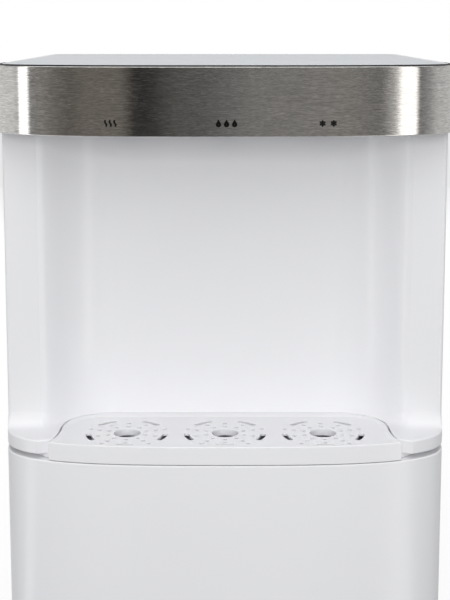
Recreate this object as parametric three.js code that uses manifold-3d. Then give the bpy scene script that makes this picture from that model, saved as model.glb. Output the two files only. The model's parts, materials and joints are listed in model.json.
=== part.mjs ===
// Countertop water dispenser: hot, normal and cold water from three push-lever taps.
// Millimetres. +X is the user's right, -Y faces the user, +Z is up; the feet stand on Z = 0.
import * as THREE from 'three';
import { mergeVertices } from 'three/addons/utils/BufferGeometryUtils.js';
import Module from 'manifold-3d';

const wasm = await Module();
wasm.setup();

// ---- driving dimensions ----
const GAP = 0.3; // between neighbouring pieces

// Plan outline: a superellipse bow at the front, straight sides behind it.
const BOW_HALF_WIDTH = 155;
const BOW_FRONT_Y = -165;
const BOW_DEPTH = 53;
const BOW_POWER = 3;
const BOW_STEPS = 28;
const BOW_END_Y = BOW_FRONT_Y + BOW_DEPTH;

const BODY_HALF_WIDTH = 152.5;
const BODY_FRONT_Y = -163.5;
const WALL = 3;
const SEAM_Y = -98; // front mouldings end here and the side panels begin
const SIDE_BACK_Y = 155;
const REAR_COVER = { y0: 155.3, y1: 157.8 };
const REAR_MOST_Y = 165;
const INNER_HALF_WIDTH = BODY_HALF_WIDTH - WALL - GAP;

const FOOT_HEIGHT = 8;
const PANEL_BOTTOM_Z = 10;
const DECK_Z = 213; // top of the lower front panel
const LEDGE_BOTTOM_Z = 216.4;
const LEDGE_TOP_Z = 226.2;
const BAND_BOTTOM_Z = 434;
const BAND_TOP_Z = 479;
const TOP_Z = 480;

// Alcove: flat column faces, swept inner walls and a flat back wall.
const COLUMN_FACE_Y = -118;
const COLUMN_INNER_X = 129.2;
const BACK_WALL_Y = -87;
const BACK_WALL_HALF_WIDTH = 78;
const FOOT_FILLET = 10;
const LEDGE_CORNER_X = 127.2;
const LEDGE_THROAT = { x: 120.7, depth: 17.2 };
const PLINTH_INSET = 8;

// Drip tray, in depth behind the front of the bow.
const TRAY_HALF_WIDTH = 119.4;
const TRAY_BACK_DEPTH = 73;
const TRAY_SIDE = [
  [115.6, 24], [114.2, 36], [113.9, 47], [111.2, 57.5], [105, 66.5], [94, TRAY_BACK_DEPTH],
];
const TRAY_GAP = 1;
const GRILLE_PLATE = 3;
const GRILLE_SKIRT = 2.5;
const BASIN_INSET = 3.2;
const BASIN_WALL = 2;

// Taps: one behind the band over each group of tray holes.
const TAP_PITCH = 67.8;
const TAPS = [['hot', -TAP_PITCH], ['normal', 0], ['cold', TAP_PITCH]];
const TAP_Y = -115;
const NOZZLE = { radius: 6, bore: 4, bottomZ: 431 };
const TAP_BODY = { radius: 11, topZ: 462 };
const LEVER = {
  y: -97, z: 454, halfWidth: 8, thick: 2.5, hub: 3.6, bore: 1.9, tipZ: 428, padHalfWidth: 10,
};
const PIN_RADIUS = 1.5;
const EAR = 2;
const LOCK = { halfWidth: 3.5, halfHeight: 3, thick: 2.2 };

// The ceiling of the alcove lies above the band's lower edge, so the band hides the taps.
const SOFFIT = { z0: 446, z1: 448.7, backY: -80 };
const LID = { frontY: SEAM_Y, backY: 151.5, thick: 3 };
const HINGE = {
  y: 147, z: 474, pin: 2, bore: 2.3, knuckle: 4.5, knuckleX: 100, knuckleHalfWidth: 10,
};

const TANK_SHELF = { z0: 366, z1: 368.5, frontY: -62 };
const MID_SHELF = { z0: 228, z1: 230.7, frontY: -83.7 };
const RESERVOIR = { x: 110, y0: -60, y1: 80, z0: 369, z1: 470, wall: 2.5 };
const NORMAL_OUTLET_Z = 377;
const HOT_TANK = { x: -85, y: 35, radius: 48, z0: 235, z1: 345 };
const COLD_TANK = { x: 60, y: 30, radius: 58, z0: 250, z1: 345 };
const TANK_WALL = 1.5;
const FEED_BORE = 2.5;
const JACKET = { radius: 78, z0: 231, z1: 351 };
const COMPRESSOR = { x: 60, y: 75, radius: 56, z0: 28.5, z1: 165 };
const TUBE_RADIUS = 3.5;
const COIL_RADIUS = 2.2;
const COIL = { halfWidth: 118, pitch: 26, rows: 11, lowestZ: 100, hole: { x: 125, z: 82 } };

const INLET = { x: -105, z: 42 };
const SWITCHES = [['heating', 60], ['cooling', 92]];
const SWITCH_Z = 42;
const ROCKER_TILT = THREE.MathUtils.degToRad(8);
const DRAIN = { x: -40, z: 42, radius: 6, bore: 1.9 };

const COLOURS = {
  whitePlastic: [0xf2f2f3, 0.25, 0],
  greyPlastic: [0xc9ccd0, 0.35, 0],
  steel: [0x9a9893, 0.35, 1],
  blackPlastic: [0x1d1d1f, 0.5, 0],
  rubber: [0x161616, 0.8, 0],
  tankSteel: [0xb8b8ba, 0.3, 1],
  foam: [0xe6e1cf, 0.9, 0],
  copper: [0xb87345, 0.35, 1],
  silicone: [0xe8e8e4, 0.45, 0],
  paintedBlack: [0x202224, 0.45, 0.2],
  board: [0x1f6b3a, 0.6, 0],
  clear: [0xdfe8ee, 0.15, 0],
  red: [0xb3262a, 0.4, 0],
  galvanised: [0xa9adb1, 0.5, 0.8],
};

const dispenser = new THREE.Group();
const materials = Object.fromEntries(Object.entries(COLOURS).map(([name, [color, roughness, metalness]]) =>
  [name, new THREE.MeshStandardMaterial({ color, roughness, metalness })]));

// ---- shape helpers ----
function toSolid(geometry) {
  const bare = geometry.index ? geometry.toNonIndexed() : geometry.clone();
  bare.deleteAttribute('normal');
  bare.deleteAttribute('uv');
  const merged = mergeVertices(bare, 1e-3);
  return new wasm.Manifold(new wasm.Mesh({
    numProp: 3,
    vertProperties: new Float32Array(merged.attributes.position.array),
    triVerts: new Uint32Array(merged.index.array),
  }));
}

function toGeometry(solid) {
  const mesh = solid.getMesh();
  const geometry = new THREE.BufferGeometry();
  geometry.setAttribute('position', new THREE.BufferAttribute(new Float32Array(mesh.vertProperties), 3));
  geometry.setIndex(new THREE.BufferAttribute(new Uint32Array(mesh.triVerts), 1));
  return geometry;
}

function join(first, ...others) {
  return toGeometry(others.reduce((sum, other) => sum.add(toSolid(other)), toSolid(first)));
}

function cut(first, ...others) {
  return toGeometry(others.reduce((rest, other) => rest.subtract(toSolid(other)), toSolid(first)));
}

function slab(outline, z0, z1) {
  const shape = new THREE.Shape(outline.map(([x, y]) => new THREE.Vector2(x, y)));
  const geometry = new THREE.ExtrudeGeometry(shape, { depth: z1 - z0, bevelEnabled: false });
  return geometry.translate(0, 0, z0);
}

// A prism whose outline is given in Y and Z, running along X.
function prismX(outline, x0, x1) {
  return slab(outline, x0, x1).applyMatrix4(new THREE.Matrix4().set(
    0, 0, 1, 0,
    1, 0, 0, 0,
    0, 1, 0, 0,
    0, 0, 0, 1,
  ));
}

function block(x0, x1, y0, y1, z0, z1) {
  return new THREE.BoxGeometry(x1 - x0, y1 - y0, z1 - z0)
    .translate((x0 + x1) / 2, (y0 + y1) / 2, (z0 + z1) / 2);
}

function post(radius, z0, z1, x = 0, y = 0, sides = 24) {
  return new THREE.CylinderGeometry(radius, radius, z1 - z0, sides)
    .rotateX(Math.PI / 2).translate(x, y, (z0 + z1) / 2);
}

function rodX(radius, x0, x1, y, z, sides = 16) {
  return new THREE.CylinderGeometry(radius, radius, x1 - x0, sides)
    .rotateZ(Math.PI / 2).translate((x0 + x1) / 2, y, z);
}

function rodY(radius, y0, y1, x, z, sides = 20) {
  return new THREE.CylinderGeometry(radius, radius, y1 - y0, sides).translate(x, (y0 + y1) / 2, z);
}

function turned(profile, sides = 28) {
  const points = profile.map(([r, z]) => new THREE.Vector2(r, z));
  return new THREE.LatheGeometry(points, sides).rotateX(Math.PI / 2);
}

function tube(points, radius, steps, sides = 8) {
  const knots = points.map((p) => new THREE.Vector3(...p));
  const extrudePath = new THREE.CatmullRomCurve3(knots, false, 'centripetal');
  return new THREE.ExtrudeGeometry(section(radius, sides), { steps, extrudePath, bevelEnabled: false });
}

// A path straight through its knots, so a pipe gets one ring at each knot.
class KnotPath extends THREE.Curve {
  constructor(knots) {
    super();
    this.knots = knots.map((knot) => new THREE.Vector3(...knot));
  }

  getUtoTmapping(u) {
    return u;
  }

  getPoint(t, target = new THREE.Vector3()) {
    const along = THREE.MathUtils.clamp(t, 0, 1) * (this.knots.length - 1);
    const start = Math.min(Math.floor(along), this.knots.length - 2);
    return target.lerpVectors(this.knots[start], this.knots[start + 1], along - start);
  }
}

function section(radius, sides) {
  return new THREE.Shape(Array.from({ length: sides }, (_, i) => {
    const angle = (2 * Math.PI * i) / sides;
    return new THREE.Vector2(radius * Math.cos(angle), radius * Math.sin(angle));
  }));
}

function pipe(knots, radius, sides = 8) {
  const options = { steps: knots.length - 1, extrudePath: new KnotPath(knots), bevelEnabled: false };
  return new THREE.ExtrudeGeometry(section(radius, sides), options);
}

function part(name, geometry, material, position = [0, 0, 0], rotationX = 0) {
  const mesh = new THREE.Mesh(geometry, materials[material]);
  mesh.name = name;
  mesh.position.set(...position);
  mesh.rotation.x = rotationX;
  dispenser.add(mesh);
  return mesh;
}

// ---- plan outlines ----
// Points of the bow from its right end to its left.
function bow(halfWidth, frontY) {
  const depth = BOW_END_Y - frontY;
  return Array.from({ length: BOW_STEPS + 1 }, (_, i) => {
    const t = (Math.PI * i) / BOW_STEPS;
    const c = Math.cos(t);
    return [
      Math.sign(c) * halfWidth * Math.abs(c) ** (2 / BOW_POWER),
      BOW_END_Y - depth * Math.max(Math.sin(t), 0) ** (2 / BOW_POWER),
    ];
  });
}

function bowYAt(halfWidth, frontY, x) {
  const across = Math.abs(x) / halfWidth;
  return BOW_END_Y - (BOW_END_Y - frontY) * (1 - across ** BOW_POWER) ** (1 / BOW_POWER);
}

// A closed plan shape: the bow, then straight sides back to backY.
function bowShape(inset, backY) {
  const halfWidth = BOW_HALF_WIDTH - inset;
  return [[halfWidth, backY], ...bow(halfWidth, BOW_FRONT_Y + inset), [-halfWidth, backY]];
}

function bodyShape(inset, backY) {
  const halfWidth = BODY_HALF_WIDTH - inset;
  return [[halfWidth, backY], ...bow(halfWidth, BODY_FRONT_Y + inset), [-halfWidth, backY]];
}

// Moves each point of an open or closed line sideways; positive goes to the line's left.
function offsetLine(points, distance, closed) {
  const last = points.length - 1;
  return points.map(([x, y], i) => {
    const [ax, ay] = points[closed ? (i + last) % (last + 1) : Math.max(i - 1, 0)];
    const [bx, by] = points[closed ? (i + 1) % (last + 1) : Math.min(i + 1, last)];
    const before = new THREE.Vector2(-(y - ay), x - ax).normalize();
    const after = new THREE.Vector2(-(by - y), bx - x).normalize();
    const middle = before.clone().add(after).normalize();
    const reach = distance / Math.max(middle.dot(after), middle.dot(before), 0.5);
    return [x + middle.x * reach, y + middle.y * reach];
  });
}

function mirrored(half) {
  return [...half, ...half.map(([x, y]) => [-x, y]).reverse()];
}

// The tray's right side from its front corner to the middle of its straight back.
function traySide() {
  const corner = [TRAY_HALF_WIDTH, bowYAt(BODY_HALF_WIDTH, BODY_FRONT_Y, TRAY_HALF_WIDTH)];
  const knots = TRAY_SIDE.map(([x, depth]) => [x, BOW_FRONT_Y + depth]);
  const curve = new THREE.SplineCurve([corner, ...knots].map(([x, y]) => new THREE.Vector2(x, y)));
  return curve.getPoints(14).map((p) => [p.x, p.y]);
}

function trayOutline() {
  const front = bow(BODY_HALF_WIDTH, BODY_FRONT_Y).filter(([x]) => Math.abs(x) < TRAY_HALF_WIDTH - 1);
  return [...mirrored(traySide()), ...front.reverse()];
}

// The opening in the ledge that the tray slides into, open to the front.
function trayMouth() {
  const throatY = BOW_FRONT_Y + LEDGE_THROAT.depth;
  const side = offsetLine(traySide(), -TRAY_GAP, false).filter(([, y]) => y > throatY + 2);
  const cornerY = bowYAt(BODY_HALF_WIDTH, BODY_FRONT_Y, LEDGE_CORNER_X);
  return mirrored([
    [LEDGE_CORNER_X, BOW_FRONT_Y - 10],
    [LEDGE_CORNER_X, cornerY],
    [LEDGE_THROAT.x, throatY],
    ...side,
  ]);
}

// The alcove's front surface in plan, from the right side return to the left one.
function alcoveLine() {
  const sweep = new THREE.CubicBezierCurve(
    new THREE.Vector2(COLUMN_INNER_X, COLUMN_FACE_Y),
    new THREE.Vector2(COLUMN_INNER_X - 11, COLUMN_FACE_Y + 3),
    new THREE.Vector2(COLUMN_INNER_X - 20, BACK_WALL_Y - 1),
    new THREE.Vector2(BACK_WALL_HALF_WIDTH, BACK_WALL_Y),
  ).getPoints(8).map((p) => [p.x, p.y]);
  return mirrored([[BODY_HALF_WIDTH, SEAM_Y - GAP], [BODY_HALF_WIDTH, COLUMN_FACE_Y], ...sweep]);
}

// ---- base and casing ----
function addBase() {
  const inset = WALL + 0.5;
  part('base_pan', cut(
    slab(bodyShape(inset, SIDE_BACK_Y - 1), FOOT_HEIGHT, 22),
    slab(bodyShape(inset + 2, SIDE_BACK_Y - 3), FOOT_HEIGHT + 2.5, 23),
  ), 'galvanised');
  const foot = turned([[0, 0], [12, 0], [14, 2], [13, FOOT_HEIGHT - GAP], [0, FOOT_HEIGHT - GAP]], 20);
  for (const [end, y] of [['front', -115], ['rear', 125]]) {
    for (const [side, x] of [['left', -112], ['right', 112]]) {
      part(`foot_${end}_${side}`, foot, 'rubber', [x, y, 0]);
    }
  }
}

function addCasing() {
  part('lower_front_panel', cut(
    join(
      slab(bodyShape(0, SEAM_Y - GAP), PANEL_BOTTOM_Z, DECK_Z),
      block(-INNER_HALF_WIDTH, INNER_HALF_WIDTH, SEAM_Y - 2, BACK_WALL_Y + WALL, DECK_Z - WALL, DECK_Z),
    ),
    slab(bodyShape(WALL, BACK_WALL_Y + 20), PANEL_BOTTOM_Z - 1, DECK_Z - WALL),
  ), 'whitePlastic');
  for (const [side, sign] of [['left', -1], ['right', 1]]) {
    const [x0, x1] = [sign * (BODY_HALF_WIDTH - WALL), sign * BODY_HALF_WIDTH].sort((a, b) => a - b);
    part(`side_panel_${side}`, block(x0, x1, SEAM_Y, SIDE_BACK_Y, PANEL_BOTTOM_Z, TOP_Z), 'whitePlastic');
  }
}

// A concave fillet where a column's flat face meets the ledge.
function columnFillet(x0, x1) {
  const arc = Array.from({ length: 7 }, (_, i) => {
    const angle = (Math.PI / 2) * (i / 6);
    return [
      COLUMN_FACE_Y - FOOT_FILLET + FOOT_FILLET * Math.cos(angle),
      LEDGE_TOP_Z + FOOT_FILLET - FOOT_FILLET * Math.sin(angle),
    ];
  });
  return prismX([
    ...arc,
    [COLUMN_FACE_Y - FOOT_FILLET, LEDGE_TOP_Z - 1],
    [COLUMN_FACE_Y + 1, LEDGE_TOP_Z - 1],
    [COLUMN_FACE_Y + 1, LEDGE_TOP_Z + FOOT_FILLET],
  ], x0, x1);
}

function addAlcove() {
  const face = alcoveLine();
  const skin = [...face, ...offsetLine(face, -WALL, false).reverse()];
  const ledge = (inset, z0, z1) => slab(bodyShape(inset, SEAM_Y - GAP), z0, z1);
  const strip = block(-118, 118, SEAM_Y - 2, BACK_WALL_Y + 1, DECK_Z + GAP, LEDGE_TOP_Z);
  const fillets = join(
    columnFillet(COLUMN_INNER_X, BODY_HALF_WIDTH),
    columnFillet(-BODY_HALF_WIDTH, -COLUMN_INNER_X),
  );
  const insideBow = toGeometry(toSolid(fillets).intersect(toSolid(ledge(0, LEDGE_TOP_Z - 2, TOP_Z))));
  part('alcove_panel', cut(
    join(
      slab(skin, DECK_Z + GAP, SOFFIT.z0 - GAP),
      ledge(0, LEDGE_BOTTOM_Z, LEDGE_TOP_Z),
      ledge(PLINTH_INSET, DECK_Z + GAP, LEDGE_BOTTOM_Z + 1),
      strip,
      insideBow,
    ),
    slab(trayMouth(), DECK_Z - 1, LEDGE_TOP_Z + 1),
  ), 'whitePlastic');
}

function addHead() {
  const slots = TAPS.map(([, x]) => join(
    post(NOZZLE.radius + 0.6, SOFFIT.z0 - 1, SOFFIT.z1 + 1, x, TAP_Y, 20),
    block(
      x - LEVER.halfWidth - 1, x + LEVER.halfWidth + 1,
      LEVER.y - 3.5, LEVER.y + 5, SOFFIT.z0 - 1, SOFFIT.z1 + 1,
    ),
    block(x - 2, x + 2, TAP_Y, LEVER.y, SOFFIT.z0 - 1, SOFFIT.z1 + 1),
  ));
  part('head_soffit', cut(join(
    slab(bowShape(1.8, SEAM_Y - GAP), SOFFIT.z0, SOFFIT.z1),
    block(-INNER_HALF_WIDTH, INNER_HALF_WIDTH, SEAM_Y - 2, SOFFIT.backY, SOFFIT.z0, SOFFIT.z1),
  ), ...slots), 'whitePlastic');
  const ring = (outer, inner, z0, z1) => cut(
    slab(bowShape(outer, SEAM_Y - GAP), z0, z1),
    slab(bowShape(inner, SEAM_Y + 5), z0 - 1, z1 + 1),
  );
  part('steel_band', ring(0, 1.5, BAND_BOTTOM_Z, BAND_TOP_Z), 'steel');
  part('band_gasket', ring(1.8, 3.7, 474, BAND_TOP_Z + 0.45), 'blackPlastic');
  part('top_deck', join(
    ring(4, 5.5, SOFFIT.z1 + GAP, TOP_Z),
    slab(bowShape(4, SEAM_Y - GAP), TOP_Z - LID.thick, TOP_Z),
  ), 'greyPlastic');
}

function addLid() {
  const { knuckle, knuckleX, knuckleHalfWidth } = HINGE;
  const under = TOP_Z - LID.thick;
  const plate = block(-INNER_HALF_WIDTH, INNER_HALF_WIDTH, LID.frontY, LID.backY, under, TOP_Z);
  const knuckles = [-1, 1].map((side) => block(
    side * knuckleX - knuckleHalfWidth, side * knuckleX + knuckleHalfWidth,
    HINGE.y - knuckle, HINGE.y + knuckle, HINGE.z - knuckle, under + 1,
  ));
  part('top_lid', cut(
    join(plate, ...knuckles),
    rodX(HINGE.bore, -115, 115, HINGE.y, HINGE.z),
  ), 'greyPlastic');
  const pin = rodX(HINGE.pin, -INNER_HALF_WIDTH, INNER_HALF_WIDTH, HINGE.y, HINGE.z);
  part('lid_hinge_pin', pin, 'tankSteel');
}

// ---- taps ----
function tapBody() {
  const z0 = SOFFIT.z1 + GAP;
  const ear = (side) => block(
    side * (LEVER.halfWidth + 1.2) - EAR / 2, side * (LEVER.halfWidth + 1.2) + EAR / 2,
    LEVER.y - 3.5, LEVER.y + 3.5, z0, LEVER.z + 3.5,
  );
  return cut(
    join(
      post(TAP_BODY.radius, z0, TAP_BODY.topZ, 0, TAP_Y),
      post(NOZZLE.radius, NOZZLE.bottomZ, z0 + 1, 0, TAP_Y),
      block(-LEVER.halfWidth - 2.2, LEVER.halfWidth + 2.2, TAP_Y, LEVER.y + 3.5, z0, z0 + 1.8),
      ear(-1),
      ear(1),
    ),
    block(-LEVER.halfWidth - GAP, LEVER.halfWidth + GAP, LEVER.y - 4.2, LEVER.y + 6, z0 - 1, z0 + 3),
    post(NOZZLE.bore, NOZZLE.bottomZ - 1, TAP_BODY.topZ - 6, 0, TAP_Y, 16),
    rodX(PIN_RADIUS + GAP, -15, 15, LEVER.y, LEVER.z, 12),
  );
}

function lever() {
  const half = LEVER.thick / 2;
  return cut(
    join(
      rodX(LEVER.hub, -LEVER.halfWidth, LEVER.halfWidth, 0, 0, 20),
      block(-LEVER.halfWidth, LEVER.halfWidth, -half, half, LEVER.tipZ + 5 - LEVER.z, 0),
      block(-LEVER.padHalfWidth, LEVER.padHalfWidth, -half, half,
        LEVER.tipZ - LEVER.z, SOFFIT.z0 - 2 - LEVER.z),
    ),
    rodX(LEVER.bore, -15, 15, 0, 0, 12),
  );
}

function addTaps() {
  for (const [name, x] of TAPS) {
    part(`tap_${name}`, tapBody(), 'blackPlastic', [x, 0, 0]);
    part(`lever_${name}`, lever(), 'greyPlastic', [x, LEVER.y, LEVER.z]);
    const pin = rodX(PIN_RADIUS, -LEVER.halfWidth - 2.2, LEVER.halfWidth + 2.2, 0, 0, 12);
    part(`lever_pin_${name}`, pin, 'tankSteel', [x, LEVER.y, LEVER.z]);
  }
  const lockBack = -LEVER.thick / 2 - GAP;
  const { halfWidth, halfHeight, thick } = LOCK;
  const slider = block(-halfWidth, halfWidth, lockBack - thick, lockBack, -halfHeight, halfHeight);
  part('child_lock', slider, 'red', [-TAP_PITCH - 4, LEVER.y, LEVER.tipZ + 5]);
}

// ---- drip tray ----
function grilleHoles(x) {
  const y = BOW_FRONT_Y + 34;
  const at = (radius, degrees) => {
    const angle = THREE.MathUtils.degToRad(degrees);
    return [x + radius * Math.cos(angle), y + radius * Math.sin(angle)];
  };
  const [z0, z1] = [LEDGE_TOP_Z - GRILLE_PLATE - 1, LEDGE_TOP_Z + 1];
  const holes = [post(9.2, z0, z1, x, y, 24)];
  for (let i = 0; i < 10; i += 1) {
    const degrees = 18 + 36 * i;
    const rows = [18, 162, 234, 306].includes(degrees) ? [13.6, 20.6, 27.2] : [13.6, 20.6];
    rows.forEach((radius) => holes.push(post(1.5, z0, z1, ...at(radius, degrees), 6)));
  }
  for (let i = 0; i < 5; i += 1) {
    const middle = 54 + 72 * i;
    const arc = (radius, sweep) => Array.from({ length: 5 }, (_, k) => (
      at(radius, middle + sweep * (k / 2 - 1))
    ));
    holes.push(slab([...arc(28.6, 14), ...arc(24.8, -14)], z0, z1));
  }
  return holes;
}

function addTray() {
  const outline = trayOutline();
  const plate = slab(outline, LEDGE_TOP_Z - GRILLE_PLATE, LEDGE_TOP_Z);
  const skirtBack = BOW_FRONT_Y + 20;
  const inside = slab(offsetLine(outline, GRILLE_SKIRT, true), DECK_Z - 1, LEDGE_TOP_Z - GRILLE_PLATE);
  const skirt = cut(
    slab(outline, DECK_Z + 0.6, LEDGE_TOP_Z - 1),
    inside,
    block(-160, 160, skirtBack, 0, DECK_Z - 1, LEDGE_TOP_Z + 1),
  );
  const holes = TAPS.flatMap(([, x]) => grilleHoles(x));
  part('tray_grille', cut(join(plate, skirt), ...holes), 'whitePlastic');
  const basinTop = LEDGE_TOP_Z - GRILLE_PLATE - GAP;
  part('drip_tray', cut(
    slab(offsetLine(outline, BASIN_INSET, true), DECK_Z + 0.4, basinTop),
    slab(offsetLine(outline, BASIN_INSET + BASIN_WALL, true), DECK_Z + 0.4 + BASIN_WALL, basinTop + 1),
  ), 'greyPlastic');
}

// ---- water circuit ----
function addShelves() {
  const shelf = ({ z0, z1, frontY }) => block(
    -INNER_HALF_WIDTH, INNER_HALF_WIDTH, frontY, SIDE_BACK_Y - 1, z0, z1,
  );
  const feeds = [HOT_TANK, COLD_TANK].map((tank) => (
    post(TUBE_RADIUS + 1.5, TANK_SHELF.z0 - 1, TANK_SHELF.z1 + 1, tank.x, tank.y, 16)
  ));
  part('tank_shelf', cut(shelf(TANK_SHELF), ...feeds), 'galvanised');
  part('mid_shelf', cut(
    shelf(MID_SHELF),
    block(100, 140, 110, 140, MID_SHELF.z0 - 1, MID_SHELF.z1 + 1),
  ), 'galvanised');
}

function addTanks() {
  const { x, y0, y1, z0, z1, wall } = RESERVOIR;
  part('reservoir', cut(
    block(-x, x, y0, y1, z0, z1),
    block(-x + wall, x - wall, y0 + wall, y1 - wall, z0 + wall, z1 + 1),
  ), 'clear');
  const can = ({ radius, z0: bottom, z1: top }) => {
    const height = top - bottom;
    const inner = radius - TANK_WALL;
    return turned([[0, 0], [radius - 6, 0], [radius, 5], [radius, height - 5], [radius - 6, height],
      [FEED_BORE, height], [FEED_BORE, height - TANK_WALL], [radius - 6, height - TANK_WALL],
      [inner, height - 5], [inner, 5], [radius - 6, TANK_WALL], [0, TANK_WALL]]);
  };
  part('hot_tank', can(HOT_TANK), 'tankSteel', [HOT_TANK.x, HOT_TANK.y, HOT_TANK.z0]);
  part('cold_tank', can(COLD_TANK), 'tankSteel', [COLD_TANK.x, COLD_TANK.y, COLD_TANK.z0]);
  const inner = COLD_TANK.radius + 0.5;
  const floor = COLD_TANK.z0 - JACKET.z0 - GAP;
  const height = JACKET.z1 - JACKET.z0;
  part('cold_jacket', turned([[0, 0], [JACKET.radius, 0], [JACKET.radius, height], [inner, height],
    [inner, floor], [0, floor]]), 'foam', [COLD_TANK.x, COLD_TANK.y, JACKET.z0]);
}

function addTubes() {
  const rise = LEVER.y + 26;
  const drop = [TAP_Y, TAP_BODY.topZ + GAP];
  const overTop = (x) => [[x, rise, 385], [x, rise, 450], [x, rise - 10, 469], [x, drop[0] + 12, 472],
    [x, drop[0], 467], [x, ...drop]];
  const [hotX, normalX, coldX] = TAPS.map(([, x]) => x);
  part('tube_hot', tube([
    [hotX - 8, 10, HOT_TANK.z1 + GAP], [hotX - 8, 10, 350], [hotX - 8, 4, 354],
    [hotX, -42, 354], [hotX, -60, 355], [hotX, rise, 366], ...overTop(hotX),
  ], TUBE_RADIUS, 32), 'silicone');
  part('tube_normal', tube([
    [normalX, RESERVOIR.y0 - GAP, NORMAL_OUTLET_Z], [normalX, RESERVOIR.y0 - 5, NORMAL_OUTLET_Z],
    ...overTop(normalX),
  ], TUBE_RADIUS, 24), 'silicone');
  part('tube_cold', tube([
    [coldX, 5, COLD_TANK.z1 + GAP], [coldX, 5, 352], [coldX, -1, 356],
    [coldX, -42, 356], [coldX, -60, 357], [coldX, rise, 367], ...overTop(coldX),
  ], TUBE_RADIUS, 32), 'silicone');
  [['hot', HOT_TANK], ['cold', COLD_TANK]].forEach(([name, tank]) => part(
    `feed_tube_${name}`,
    post(TUBE_RADIUS, tank.z1 + GAP, RESERVOIR.z0 - GAP, 0, 0, 12),
    'silicone',
    [tank.x, tank.y, 0],
  ));
}

// ---- cooling circuit ----
function addCompressor() {
  const { x, y, radius, z0, z1 } = COMPRESSOR;
  const height = z1 - z0;
  const dome = turned([[0, 1], [radius - 8, 1], [radius, 12], [radius, height - 26],
    [radius - 12, height - 8], [radius - 30, height], [0, height]]);
  part('compressor', join(dome, block(-62, 62, -45, 45, 0, 3)), 'paintedBlack', [x, y, z0]);
  [[-50, -34], [50, -34], [0, 34]].forEach(([dx, dy], i) => part(
    `compressor_mount_${i + 1}`,
    turned([[0, 0], [8, 0], [6, 6], [6, 10], [8, 17.7], [0, 17.7]], 16),
    'rubber',
    [x + dx, y + dy, FOOT_HEIGHT + 2.5 + GAP],
  ));
  const can = [[0, 0], [2.5, 0], [2.5, 10], [9, 16], [9, 84], [2.5, 90], [2.5, 100], [0, 100]];
  part('filter_drier', turned(can, 16), 'copper', [-125, 125, 80]);
}

// The coil starts inside, passes through the rear cover and climbs it in level runs.
function addCondenser() {
  const { halfWidth, pitch, rows, lowestZ, hole } = COIL;
  const y = REAR_COVER.y1 + GAP + COIL_RADIUS + 0.3;
  const bend = pitch / 2;
  const knots = [[hole.x, 138, hole.z], [hole.x, y - 3, hole.z], [hole.x - 1, y - 1, hole.z + 1],
    [hole.x - 4, y, hole.z + 4], [halfWidth - 4, y, lowestZ - 3]];
  for (let row = 0; row < rows; row += 1) {
    const side = row % 2 ? 1 : -1;
    const z = lowestZ + row * pitch;
    knots.push([-side * (halfWidth - bend), y, z], [side * (halfWidth - bend), y, z]);
    for (let i = 1; i < 6 && row < rows - 1; i += 1) {
      const angle = (Math.PI * i) / 6;
      knots.push([side * (halfWidth - bend + bend * Math.sin(angle)), y, z + bend - bend * Math.cos(angle)]);
    }
  }
  part('condenser_coil', pipe(knots, COIL_RADIUS, 6), 'paintedBlack');
}

// ---- rear face ----
function addRear() {
  const { y0, y1 } = REAR_COVER;
  const through = (x0, x1, z0, z1) => block(x0, x1, y0 - 1, y1 + 1, z0, z1);
  const slots = [];
  for (let i = 0; i < 5; i += 1) {
    for (const x of [-95, 0, 95]) slots.push(through(x - 36, x + 36, 150 + 50 * i, 155 + 50 * i));
  }
  part('rear_cover', cut(
    block(-BODY_HALF_WIDTH, BODY_HALF_WIDTH, y0, y1, PANEL_BOTTOM_Z, TOP_Z - GAP),
    ...slots,
    through(INLET.x - 14, INLET.x + 14, INLET.z - 10.5, INLET.z + 10.5),
    ...SWITCHES.map(([, x]) => through(x - 10.5, x + 10.5, SWITCH_Z - 14, SWITCH_Z + 14)),
    rodY(DRAIN.radius + 0.6, y0 - 1, y1 + 1, DRAIN.x, DRAIN.z),
    rodY(4, y0 - 1, y1 + 1, COIL.hole.x, COIL.hole.z, 12),
  ), 'whitePlastic');
  let count = 0;
  for (const z of [22, TOP_Z - 22]) {
    for (const x of [-140, 140]) {
      count += 1;
      const head = cut(
        new THREE.CylinderGeometry(2.4, 4, 2.2, 16),
        block(-3, 3, 0.3, 2, -0.5, 0.5),
        block(-0.5, 0.5, 0.3, 2, -3, 3),
      );
      part(`rear_screw_${count}`, head, 'tankSteel', [x, y1 + GAP + 1.1, z]);
    }
  }
  for (const [side, x] of [['left', -140], ['right', 140]]) {
    part(`wall_spacer_${side}`, block(-7, 7, y1 + GAP, REAR_MOST_Y, -25, 25), 'blackPlastic', [x, 0, 400]);
  }
}

function addInlet() {
  const { y0, y1 } = REAR_COVER;
  const blade = (x, z) => block(x - 1, x + 1, y0 - 11, y0 - 3, z - 2, z + 2);
  part('power_inlet', join(
    cut(
      join(
        block(-13.5, 13.5, y0 - 16, y1 + 1, -10, 10),
        block(-20, 20, y1 + GAP, y1 + 2.6, -12.5, 12.5),
      ),
      block(-12, 12, y0 - 10, y1 + 4, -8, 8),
    ),
    ...[[-7, -2], [7, -2], [0, 3]].map(([x, z]) => blade(x, z)),
  ), 'blackPlastic', [INLET.x, 0, INLET.z]);
}

function addSwitches() {
  const { y0, y1 } = REAR_COVER;
  const rocker = prismX([[-4, -6], [-4, 6], [1, 9.2], [3.4, 9], [2.2, 0], [3.4, -9], [1, -9.2]], -7.2, 7.2);
  for (const [name, x] of SWITCHES) {
    part(`switch_housing_${name}`, cut(
      join(
        block(-10, 10, y0 - 10, y1 + 1, -13.5, 13.5),
        block(-12.5, 12.5, y1 + GAP, y1 + 2.2, -16, 16),
      ),
      block(-7.8, 7.8, y0 - 7, y1 + 4, -10.6, 10.6),
    ), 'blackPlastic', [x, 0, SWITCH_Z]);
    part(`switch_${name}`, rocker, 'red', [x, y1, SWITCH_Z], ROCKER_TILT);
  }
}

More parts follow.
